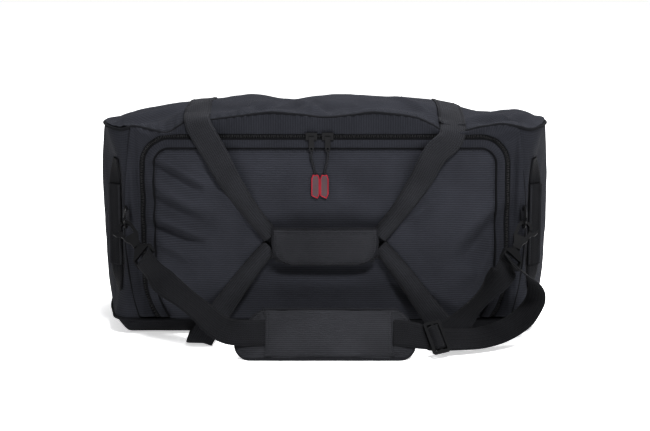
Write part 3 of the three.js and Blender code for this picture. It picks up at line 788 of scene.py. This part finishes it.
def make_front():
    def band(low, high, proud):
        def place(u, v):
            x, z = zip_point(v, lerp(low, high, u))
            return on_face(x, z, proud(u))

        return place

    def yoke(u, v):
        (x0, z0), (x1, z1) = zip_point(v, ZIP_EDGE), yoke_edge(v)
        u = u**0.8
        x, z = lerp(x0, x1, u), lerp(z0, z1, u)
        return on_face(x, z, 0.001 * math.sin(math.pi * u) + pucker(z1 - z, x, 0.01, 0.011, 0.0005))

    lid_edge = -(ZIP_EDGE + BORDER)
    top = ZIP_TOP + lid_edge

    def lid(u, v):
        z = lerp(FOOT_EDGE + 0.0015, top, 1 - (1 - v) ** 1.3)
        half = lid_half(z, lid_edge)
        x = lerp(-half, half, u)
        rim = min(half - abs(x), top - z)
        return on_face(x, z, 0.0016 * smooth(rim / 0.012) + pucker(rim, x + z, 0.01, 0.012, 0.0004))

    put(sheet_of("yoke_cloth", 14, 420, yoke, "shell"), "bag", "front_yoke")
    put(sheet_of("lid_cloth", 250, 130, lid, "lid"), "bag", "lid_panel")
    flat = band(-ZIP_EDGE, ZIP_EDGE, lambda u: -0.001)
    put(sheet_of("zip_tape", 6, 360, flat, "zip_tape"), "bag", "zip_chain")
    swollen = band(lid_edge, -ZIP_EDGE, lambda u: 0.0008 + 0.0016 * math.sin(math.pi * u))
    put(sheet_of("border_cloth", 12, 420, swollen, "shell"), "bag", "lid_border")
    # dark cords each side of the border: partly their own colour, partly painted shade of the seam lines
    for name, offset in (("border_cord_inner", lid_edge), ("border_cord_outer", -ZIP_EDGE)):
        line = zip_line(offset, 420, 0.0012)
        put(rod(name, line, BORDER_CORD, "trim"), "bag")
    for offset, proud in ((lid_edge - 0.004, 0.0019), (ZIP_EDGE + 0.003, 0.0009)):
        line = zip_line(offset, 500, proud)
        sew("bag", line, FACE_OUT)


TOOTH_PITCH = 0.0021
TOOTH_REACH = 0.0026  # from the middle of the zip
TOOTH_EDGE, TOOTH_CROWN = 0.0006, 0.0013  # how proud it stands
TOOTH_LEAN = 0.00045
TOOTH_HALF = 0.00062


def make_zip_teeth():
    line = [on_face(*zip_point(k / 900, 0), 0.0002) for k in range(901)]
    verts, faces = [], []
    count = int(lengths(line)[-1] / TOOTH_PITCH)
    for n, (k, _) in enumerate(walk(line, [(n + 0.5) * TOOTH_PITCH for n in range(count)])):
        at = line[k]
        along = (line[k + 1] - at).normalized()
        side = along.cross(FACE_OUT)
        lean = along * TOOTH_LEAN * (1 if n % 2 else -1)
        half = along * TOOTH_HALF
        base = len(verts)
        for reach, thick in ((-1, TOOTH_EDGE), (0, TOOTH_CROWN), (1, TOOTH_EDGE)):
            centre = at + (side * TOOTH_REACH + lean) * reach
            verts += [centre - half, centre + FACE_OUT * thick, centre + half]
        for a in (base, base + 3):
            faces += [(a, a + 3, a + 4, a + 1), (a + 1, a + 4, a + 5, a + 2)]
    put(new_piece("zip_teeth", verts, faces, "zip_coil", [(0, 0)] * len(verts)), "bag")


# ---- Webbing round the bag, and the haul handle ----
FOOT_FOLD = {"left": -0.198, "right": -0.182}
GRIP_END = 0.08  # where the legs run in under the wrap


def band_height(x, y):
    return max(top_height(x, y), top_height(x, y + 0.006)) + 0.002


def make_bands(label, side):
    def across(u):
        return side * WEBBING_X + (u - 0.5) * WEBBING

    def over(u, v):
        x, y = across(u), lerp(-0.146, 0.146, v)
        return Vector((x, y, band_height(x, y)))

    def behind(u, v):
        return Vector((across(u), HALF_DEPTH + 0.002, lerp(0.296, 0.034, v)))

    def under(u, v):
        return Vector((across(1 - u), lerp(-0.116, 0.116, v), WEBBING_THICK))

    for name, place, rows in (("over", over, 90), ("behind", behind, 30), ("under", under, 20)):
        piece = sheet_of(f"band_{name}_{label}", 10, rows, place, "webbing", WEBBING_THICK)
        put(piece, "bag", f"webbing_{name}_{label}")
    for edge in (0.09, 0.91):
        line = [over(edge, k / 90) + UP * 0.0003 for k in range(91)]
        sew("bag", line, UP)


def make_handle_legs(label, side):
    fold = FOOT_FOLD[label]
    lip = profile(FRONT_SEAM, side * 0.188)
    start = band_height(side * 0.188, -0.138) + 0.001

    def at(x, y, z):
        return Vector((side * x, y, z))

    def folded(t):
        return lerp(WEBBING, 0.033, smooth((t - 0.35) / 0.55))

    def curl(t):
        return 2.7 * smooth((t - 0.5) / 0.45)

    upper = [
        at(0.188, -0.138, start), at(0.188, -0.153, lip + 0.003), at(0.182, -0.1595, lip - 0.012),
        at(0.16, -0.1665, 0.28), at(0.139, -0.1705, 0.24), at(0.112, -0.1735, 0.198), at(GRIP_END, -0.1735, 0.159),
    ]
    upper_out = [
        at(0, -0.2, 1), at(0.1, -0.8, 0.6), at(0.1, -1, 0.1), at(0.15, -1, 0), at(0.15, -1, 0),
        at(0.2, -1, 0.1), at(0.2, -1, 0.3),
    ]
    lower = [
        at(0.188, -0.119, 0.0011), at(0.188, -0.15, 0.0013), at(0.187, fold + 0.012, 0.0024),
        at(0.185, fold, 0.008), at(0.175, fold + 0.002, 0.024), at(0.151, -0.178, 0.055),
        at(0.111, -0.1745, 0.11), at(GRIP_END, -0.171, 0.143),
    ]
    lower_out = [
        at(0, 0, -1), at(0, 0, -1), at(0, -0.5, -0.9), at(0, -1, -0.2), at(0.1, -1, 0.1),
        at(0.1, -1, 0.1), at(0.2, -1, 0), at(0.2, -1, -0.3),
    ]
    for name, points, outs, free in (("upper", upper, upper_out, 2), ("lower", lower, lower_out, 4)):
        piece = strap(f"leg_{name}_{label}", points, outs, "webbing", 70, folded, 0.002, curl, facing=True)
        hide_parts(f"handle_leg_{name}_{label}")
        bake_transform(piece)


def make_grip():
    for name, z, lean in (("upper", 0.1575, 0.3), ("lower", 0.1335, -0.3)):
        points = [Vector((x, -0.169, z)) for x in (-GRIP_END, -0.04, 0, 0.04, GRIP_END)]
        outs = [Vector((0, -1, lean))] * 5
        piece = strap(
            f"grip_bundle_{name}", points, outs, "webbing", 30, 0.034, 0.002, lambda t: 2.7, facing=True
        )
        put(piece, "hand_grip", f"grip_webbing_{name}")


# ---- Padded pieces ----
def swell(piece, out, pressure, most, voxel=0.0035):
    """Blows a closed piece up as cloth under pressure; it may swell along out by most, and hardly shrinks in."""
    scene = bpy.context.scene
    remesh = piece.modifiers.new("remesh", "REMESH")
    remesh.mode = "VOXEL"
    remesh.voxel_size = voxel
    bake_shape(piece)
    before = [v.co.copy() for v in piece.data.vertices]
    cloth = piece.modifiers.new("cloth", "CLOTH")
    cloth.settings.use_pressure = True
    cloth.settings.uniform_pressure_force = pressure
    cloth.settings.effector_weights.gravity = 0
    cloth.settings.quality = 6
    cloth.point_cache.frame_end = 20
    for number in range(1, 21):
        scene.frame_set(number)
    bake_shape(piece)
    scene.frame_set(1)
    for vertex, start in zip(piece.data.vertices, before):
        moved = vertex.co - start
        swollen = out * moved.dot(out)
        moved = swollen + 0.2 * (moved - swollen)
        vertex.co = start + moved * min(1, most / max(moved.length, 1e-9))


def bake_shape(piece):
    """Turns a piece's modifiers into its mesh."""
    graph = bpy.context.evaluated_depsgraph_get()
    shaped = bpy.data.meshes.new_from_object(piece.evaluated_get(graph))
    piece.modifiers.clear()
    piece.data = shaped


def padded_slab(name, half_width, half_height, thick, place, corner, shrink):
    """A closed slab with rounded corners, where place(a, b, n) puts a point; a and b in metres, n across."""
    rings, steps = 10, 120
    verts, faces = [], []
    outline = rounded_outline(half_width - shrink, half_height - shrink, corner, steps)
    for n in (1, -1):
        for r in range(rings + 1):
            share = r / rings
            edge = 1 - 0.35 * share**6
            verts += [place(a * share, b * share, n * edge * thick / 2) for a, b in outline]
    count = rings + 1
    for face in range(2):
        for r in range(rings):
            for k in range(steps):
                a = (face * count + r) * steps + k
                b = (face * count + r) * steps + (k + 1) % steps
                quad = (a, b, b + steps, a + steps)
                faces.append(quad if face else tuple(reversed(quad)))
    for k in range(steps):
        a, b = rings * steps + k, rings * steps + (k + 1) % steps
        faces.append((a, b, b + count * steps, a + count * steps))
    slab = new_piece(name, verts, faces, "padding")
    slab.data.validate()
    return slab


def rounded_outline(half_width, half_height, corners, steps):
    """A rectangle with corner radii (top, bottom), as points evenly round it."""
    top, low = corners
    centres = (
        (half_width - top, half_height - top, top, 0),
        (-half_width + top, half_height - top, top, 1),
        (-half_width + low, -half_height + low, low, 2),
        (half_width - low, -half_height + low, low, 3),
    )
    rough = []
    for x, y, radius, quarter in centres:
        for k in range(17):
            angle = (quarter + k / 16) * math.pi / 2
            rough.append(Vector((x + radius * math.cos(angle), y + radius * math.sin(angle), 0)))
    rough.append(rough[0])
    whole = lengths(rough)[-1]
    even = [rough[k].lerp(rough[k + 1], part) for k, part in walk(rough, [n / steps * whole for n in range(steps)])]
    return [(at.x, at.y) for at in even]


def press_in(piece, origin, right, lines, depth, width, inward):
    """Sinks stitched lines across a pad, at the given places along right."""
    for vertex in piece.data.vertices:
        along = (vertex.co - origin).dot(right)
        sunk = sum(depth * bell(along - line, width) for line in lines)
        side = 1 if (vertex.co - origin).dot(inward) < 0 else -0.5
        vertex.co += inward * sunk * side


def finish_pad(piece, origin, right, up):
    write_uv(piece.data, [((v.co - origin).dot(right), (v.co - origin).dot(up)) for v in piece.data.vertices])
    piece.data.shade_smooth()
    smooth_it = piece.modifiers.new("smooth", "SUBSURF")
    smooth_it.levels = 1
    smooth_it.render_levels = 1


WRAP_CENTRE = Vector((0, -0.1765, 0.1445))


def make_wrap():
    def place(a, b, n):
        bow = 0.0025 * (1 - (a / 0.077) ** 2) - 0.004 * clamp01(abs(b) / 0.0265) ** 3
        ear = 0.0015 * bell(abs(a) - 0.074, 0.006) * smooth(b / 0.026)
        return WRAP_CENTRE + RIGHT * a + UP * (b + ear) + FACE_OUT * (n + bow)

    flap = padded_slab("wrap_cover", 0.077, 0.0265, 0.0045, place, (0.005, 0.03), shrink=-0.0008)
    swell(flap, FACE_OUT, 3.0, 0.003, 0.0028)
    finish_pad(flap, WRAP_CENTRE, RIGHT, UP)
    put(flap, "wrap_flap", "grip_wrap_flap")
    rim = [place(a, b, 0.0) for a, b in rounded_outline(0.0768, 0.0263, (0.005, 0.03), 240)]
    put(rod("wrap_binding", rim, 0.0022, "binding", 10, closed=True), "wrap_flap")
    inner = [place(a, b, 0.0055) for a, b in rounded_outline(0.0725, 0.022, (0.004, 0.026), 240)]
    sew("wrap_flap", inner + inner[:1], FACE_OUT)

    def back(u, v):
        z = lerp(0.119, 0.1715, v)
        lip = smooth((z - 0.168) / 0.003)
        x = lerp(-0.074, 0.074, u)
        return Vector((x, lerp(-0.164, -0.1735, lip), z + 0.0006 * ripple(x, 0, z, 0.02)))

    piece = sheet_of("wrap_back", 60, 30, back, "padding", 0.002)
    put(piece, "hand_grip", "grip_wrap_back")


PAD_CENTRE = Vector((0, -0.254, 0.034))
PAD_UP = Vector((0, 0.5, 0.866)).normalized()
PAD_OUT = Vector((0, -0.866, 0.5)).normalized()
PAD_HALF = 0.128
PAD_TALL = 0.036
PAD_PANEL = (-0.089, 0.099)


def make_pad():
    def place(a, b, n):
        bow = -0.0035 * (a / PAD_HALF) ** 2 + 0.001 * ripple(a, b, 3.0, 0.05)
        cut = 0.03 * clamp01((b + 0.014) / 0.05) * smooth((-a - 0.085) / 0.035)
        cut -= 0.016 * clamp01((b - 0.006) / 0.03) * smooth((a - 0.095) / 0.03)
        return PAD_CENTRE + RIGHT * (a + cut) + PAD_UP * b + PAD_OUT * (n + bow)

    pad = padded_slab("pad_cover", PAD_HALF, PAD_TALL, 0.0085, place, (0.016, 0.022), shrink=-0.0016)
    swell(pad, PAD_OUT, 4.0, 0.004)
    lines = (-0.0865, 0.0965)
    press_in(pad, PAD_CENTRE, RIGHT, lines, 0.0013, 0.0018, -PAD_OUT)
    finish_pad(pad, PAD_CENTRE, RIGHT, PAD_UP)
    put(pad, "bag", "shoulder_pad")
    rim = [place(a, b, 0.0) for a, b in rounded_outline(PAD_HALF, PAD_TALL, (0.016, 0.022), 300)]
    put(rod("pad_binding", rim, 0.003, "binding", 10, closed=True), "bag")
    inner = [place(a, b, 0.0064) for a, b in rounded_outline(0.1225, 0.0305, (0.011, 0.017), 300)]
    sew("bag", inner + inner[:1], PAD_OUT)
    make_pad_panel(place)


def make_pad_panel(place):
    """The middle panel of the pad, whose ends hold the strap down."""
    low, high = PAD_PANEL

    def panel(u, v):
        edge = smooth(min(u, 1 - u) / 0.03)
        proud = 0.0066 + 0.0022 * edge - 0.003 * (2 * v - 1) ** 8
        return place(lerp(low, high, u), lerp(-0.0335, 0.0335, v), proud)

    piece = sheet_of("pad_panel", 130, 30, panel, "padding", 0.0012)
    put(piece, "bag")
    for a in (low + 0.003, low + 0.008, high - 0.003, high - 0.008):
        line = [place(a, lerp(-0.031, 0.031, k / 30), 0.0091) for k in range(31)]
        sew("bag", line, PAD_OUT)


# ---- Shoulder strap ----
def vectors(rows):
    return [Vector(row) for row in rows]


STRAP_LEFT = vectors(in_metres([
    (-262.8, -198.5, 139), (-263.3, -206.6, 134), (-249, -212, 117), (-232, -216, 99), (-208, -223, 82),
    (-180, -233, 62), (-160, -247, 48), (-145, -255, 41), (-130, -260.5, 38.5), (-108, -261, 38), (-86, -259, 37),
]))
STRAP_LEFT_TURNS = vectors([
    (0.52, -0.38, 0.76), (0.52, -0.38, 0.76), (0.52, -0.38, 0.76), (0.55, 0.3, 0.7), (0.45, 0.7, 0.5),
    (0.4, 0.75, 0.55), (0.3, 0.66, 0.7), (0.18, 0.56, 0.82), (0, 0.5, 0.866), (0, 0.5, 0.866), (0, 0.5, 0.866),
])
STRAP_OUTER = vectors(in_metres([
    (98, -259, 37), (116, -260, 36.5), (131, -257, 33), (147, -250.5, 28), (160, -250, 26), (190, -240, 22),
    (226, -226, 20), (260, -212, 26), (290, -200, 41), (307, -199, 64), (310, -206, 86), (304, -212, 102),
    (294, -216, 112), (283, -217, 120), (271.2, -206.6, 128.4), (270, -199, 133.5),
]))
STRAP_OUTER_TURNS = vectors([
    (0, 0.5, 0.866), (0, 0.5, 0.866), (0, 0.5, 0.866), (-0.2, 0.6, 0.76), (-0.31, 0.57, 0.76), (-0.25, 0.75, 0.63),
    (-0.2, 0.8, 0.58), (-0.35, 0.75, 0.56), (-0.6, 0.7, 0.4), (-0.6, 0.8, 0.1), (-0.55, 0.83, 0.1),
    (-0.36, 0.93, 0), (-0.1, 1, 0), (0.1, 1, -0.2), (0.5, 0.38, -0.76), (0.5, 0.38, -0.76),
])
STRAP_INNER = vectors(in_metres([
    (265.5, -199.5, 129), (262, -205, 115), (252, -196, 98), (240, -190, 80), (228, -187, 64), (215, -188, 50),
    (200, -200, 37), (183, -218, 27), (165, -236, 22),
]))
STRAP_INNER_TURNS = vectors([
    (-0.5, -0.38, 0.76), (-0.5, -0.2, 0.8), (-0.5, 0.4, 0.75), (-0.35, 0.85, 0.3), (-0.3, 0.92, 0.2),
    (-0.3, 0.9, 0.3), (-0.3, 0.78, 0.5), (-0.3, 0.66, 0.66), (-0.31, 0.57, 0.76),
])
STRAPS = (
    ("shoulder_left", "shoulder_strap_left", STRAP_LEFT, STRAP_LEFT_TURNS, 0.2313, "hook_loop_left"),
    ("shoulder_outer", "shoulder_strap_right", STRAP_OUTER, STRAP_OUTER_TURNS, 0.3356, None),
    ("shoulder_inner", "shoulder_strap_return", STRAP_INNER, STRAP_INNER_TURNS, 0.1755, "hook_loop_right"),
)


def make_straps():
    """The long stretch and the two shorter ones of the shoulder strap, each as webbing along its points."""
    for name, node, points, turns, length, hung_from in STRAPS:
        steps = 90
        piece = strap(name, points, turns, "strap", steps)
        put(piece, "bag", node)
        if hung_from:
            continue
        centres = [spline(points, k / steps) for k in range(steps + 1)]
        [tuple(p) for p in centres]


BUCKLE_CENTRE = Vector((0.16, -0.25, 0.026))
BUCKLE_UP = Vector((-0.31, 0.57, 0.76)).normalized()
BUCKLE_ALONG = Vector((0.93134, 0.34282, 0.12278))
# How the webbing passes over the middle bar, as (along, proud).
THREADED = in_metres([(-9.5, 2.6), (-6.5, 4), (-2.6, 7.2), (2.6, 7.2), (6.5, 4.2), (9.5, 3)])


def make_threaded_webbing():
    """The turn of webbing that runs over the buckle's middle bar."""
    proud = BUCKLE_ALONG.cross(BUCKLE_UP)
    points = [BUCKLE_CENTRE + BUCKLE_ALONG * a + proud * n for a, n in THREADED]
    piece = strap("buckle_turn", points, [BUCKLE_UP] * len(points), "strap", 30, 0.036, 0.0014)
    put(piece, "buckle")


# ---- Zip pulls ----
SLIDERS = {"left": -0.02, "right": 0.004}
TAB_DRIFT = {"left": 0.006, "right": -0.005}  # the pulls hang towards each other
# Share of the drift, distance out, height.
PULL_ROUTE = [(0, 0.0015, 0.2845), (0, 0.002, 0.276), (0.5, 0.0022, 0.264), (1, 0.0024, 0.2515)]


def make_pull(label, x):
    y = cad_face_y(x, ZIP_TOP) - 0.008
    drift = TAB_DRIFT[label]
    route = [Vector((x + drift * share, y - out, z)) for share, out, z in PULL_ROUTE]
    centres = [spline(route, k / 24) for k in range(25)]
    piece = rod(f"pull_line_{label}", centres, PULL_CORD, "webbing", 12)
    put(piece, f"pull_{label}", f"pull_cord_{label}")
    tab = make_tab(label, Vector((x + drift, y - 0.0024, 0.251)))
    [tuple(p) for p in centres]


def cad_face_y(x, z):
    v = (z - FOOT_EDGE) / (FRONT_HEIGHT - FOOT_EDGE)
    return -HALF_DEPTH - FACE_BULGE * fullness(v) * (1 - (x / 0.3) ** 2)


TAB_OUTLINE = [(-4, 0), (4, 0), (6, -6), (6, -28), (3, -34), (-6, -30), (-6, -6)]


def make_tab(label, hung):
    corners = [hung + Vector((x * 0.0009, 0, z * 0.001 - 0.0008)) for x, z in TAB_OUTLINE]
    line = []
    for k, corner in enumerate(corners):
        after = corners[(k + 1) % len(corners)]
        line += [corner.lerp(after, t / 8) for t in range(8)]
    rim = rod(f"tab_rim_{label}", line, 0.0011, "red_rubber", closed=True)
    put(rim, f"pull_{label}", f"pull_tab_{label}")
    plate = loft(
        f"tab_inlay_{label}",
        [[c + Vector((0, depth, 0)) for c in corners] for depth in (0.0006, -0.0006)],
        [[(c.x, c.z) for c in corners]] * 2,
        "pale_rubber",
    )
    plate.data.shade_flat()
    put(plate, f"pull_{label}")
    return [rim, plate]


# ---- End handles and ring tabs ----
END_TURN = 0.56


def make_end_handle(label, side):
    centre = Vector((side * 0.314, -0.129, 0))
    across = Vector((side * math.cos(END_TURN), math.sin(END_TURN), 0))
    out = Vector((side * math.sin(END_TURN), -math.cos(END_TURN), 0))
    sections, uv = [], []
    rows = 40
    for j in range(rows + 1):
        z = lerp(0.108, 0.232, j / rows)
        ring, pairs = [], []
        for k in range(28):
            angle = 2 * math.pi * k / 28
            wide = 0.011 * math.copysign(abs(math.cos(angle)) ** 0.6, math.cos(angle))
            deep = 0.004 * math.copysign(abs(math.sin(angle)) ** 0.6, math.sin(angle))
            groove = 0.0016 * bell(wide - 0.003, 0.0016) * (1 if deep > 0 else 0)
            pinch = 0.0008 * ripple(wide, 0, z, 0.03)
            ring.append(centre + across * wide + out * (deep - groove + pinch) + UP * z)
            pairs.append((wide * 1.3, z))
        sections.append(ring)
        uv.append(pairs)
    grip = loft(f"end_grip_cover_{label}", sections, uv, "strap")
    put(grip, f"end_grip_{label}", f"end_handle_grip_{label}")
    for edge in (-0.0098, 0.0098):
        foot = centre + across * edge + out * 0.003
        line = [foot + UP * lerp(0.109, 0.231, k / 30) for k in range(31)]
        name = f"end_grip_edge_{label}_{'in' if edge < 0 else 'out'}"
        put(rod(name, line, 0.0017, "webbing"), f"end_grip_{label}")
    anchor = Vector((side * 0.3125, -0.1275, 0))
    flat = Vector((side * 0.28, 0.96, 0))
    for name, near, far in (("upper", 0.2322, 0.27), ("lower", 0.1078, 0.07)):
        points = [centre.lerp(anchor, t) + UP * lerp(near, far, t) for t in (0, 0.33, 0.66, 1)]
        turns = [across.lerp(flat, t) for t in (0, 0.33, 0.66, 1)]
        leg = strap(
            f"end_leg_{name}_{label}", points, turns, "strap", 20, lambda t: lerp(0.021, 0.03, t), 0.003
        )
        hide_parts(f"end_handle_leg_{name}_{label}")
        tuple(points[0])
        tuple(points[-1])
        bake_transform(leg)


# How the tab runs round the ring's bar: x beside it, and y.
RING_LOOP = in_metres([
    (1.2, -149), (2.2, -156), (3.4, -160.5), (0, -164.2), (-3.4, -160.5), (-2.2, -156), (-1.2, -149),
])


def make_ring_tab(label, side):
    points = [Vector((side * RING_X + aside, y, RING_Z)) for aside, y in RING_LOOP]
    tab = strap(f"ring_loop_{label}", points, [UP] * len(points), "webbing", 40, 0.019, 0.0014)
    put(tab, "bag", f"ring_tab_{label}")


# ---- CAD pieces that stay: hard parts ----
HARD_PARTS = {"metal": ("d_ring", "zip_slider", "zip_puller"), "nylon": ("hook_body", "hook_gate", "hook_loop")}


def refinish(name, material):
    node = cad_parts[name]
    node.data.materials.clear()
    node.data.materials.append(materials[material])
    return node


def dress_hard_parts():
    pairs = [(f"{stem}_{label}", m) for m, stems in HARD_PARTS.items() for stem in stems for label in SIDES]
    for name, material in pairs + [("slide_buckle", "nylon")]:
        node = refinish(name, material)
        edge = node.modifiers.new("worn_edges", "BEVEL")
        edge.width = 0.0007
        edge.segments = 3
        edge.limit_method = "ANGLE"
        edge.angle_limit = math.radians(35)
        edge.harden_normals = True
    refinish("base_board", "nylon")


# ---- Studio ----
FLOOR_REACH = 40.0
FLOOR_GAP = 0.0006  # under the lowest CAD point
FLOOR_GLOW = 0.65
SKY_STRENGTH = 0.36
SOFT_LIGHTS = (  # place, width, height, watts
    ("key", (0.5, -1.9, 2.1), 0.7, 0.5, 84),
    ("overhead", (0.3, 0.3, 2.1), 1.2, 0.8, 74),
)
VIEW_GAMMA = 0.7  # keeps black cloth dark beside a white floor


def make_studio():
    n = Nodes("paper_floor")
    place = n.add("ShaderNodeTexCoord")
    grain = n.noise(place.outputs["Object"], 300.0, 3.0)
    looks = {
        "Base Color": n.mix(grain, (0.93, 0.93, 0.93, 1), (0.96, 0.96, 0.96, 1)),
        "Roughness": 0.9,
        "Specular IOR Level": 0.1,
        "Emission Color": (1, 1, 1, 1),
        "Emission Strength": FLOOR_GLOW,
    }
    material = n.finish(looks, grain, 0.0002, 0.2)
    mesh = bpy.data.meshes.new("floor")
    low = cad_box[0][2] - FLOOR_GAP
    corners = [(x * FLOOR_REACH, y * FLOOR_REACH, low) for x, y in ((-1, -1), (1, -1), (1, 1), (-1, 1))]
    mesh.from_pydata(corners, [], [(0, 1, 2, 3)])
    mesh.materials.append(material)
    add_to_scene(bpy.data.objects.new("floor", mesh))
    world = bpy.data.worlds.new("studio")
    bpy.context.scene.world = world
    world.use_nodes = True
    sky = world.node_tree.nodes["Background"]
    sky.inputs["Color"].default_value = (1.0, 1.0, 1.02, 1)
    sky.inputs["Strength"].default_value = SKY_STRENGTH
    for light in SOFT_LIGHTS:
        make_light(*light)
    bpy.context.scene.view_settings.view_transform = "Standard"
    bpy.context.scene.view_settings.gamma = VIEW_GAMMA


# ---- Assembly ----
make_camera()
make_straps()
make_threaded_webbing()
for label, x in SLIDERS.items():
    make_pull(label, x)
make_shell()
make_piping()
make_front()
make_zip_teeth()
for label, side in SIDES.items():
    make_bands(label, side)
    make_handle_legs(label, side)
    make_end_handle(label, side)
    make_ring_tab(label, side)
make_grip()
make_wrap()
make_pad()
make_stitching()
dress_hard_parts()
make_studio()
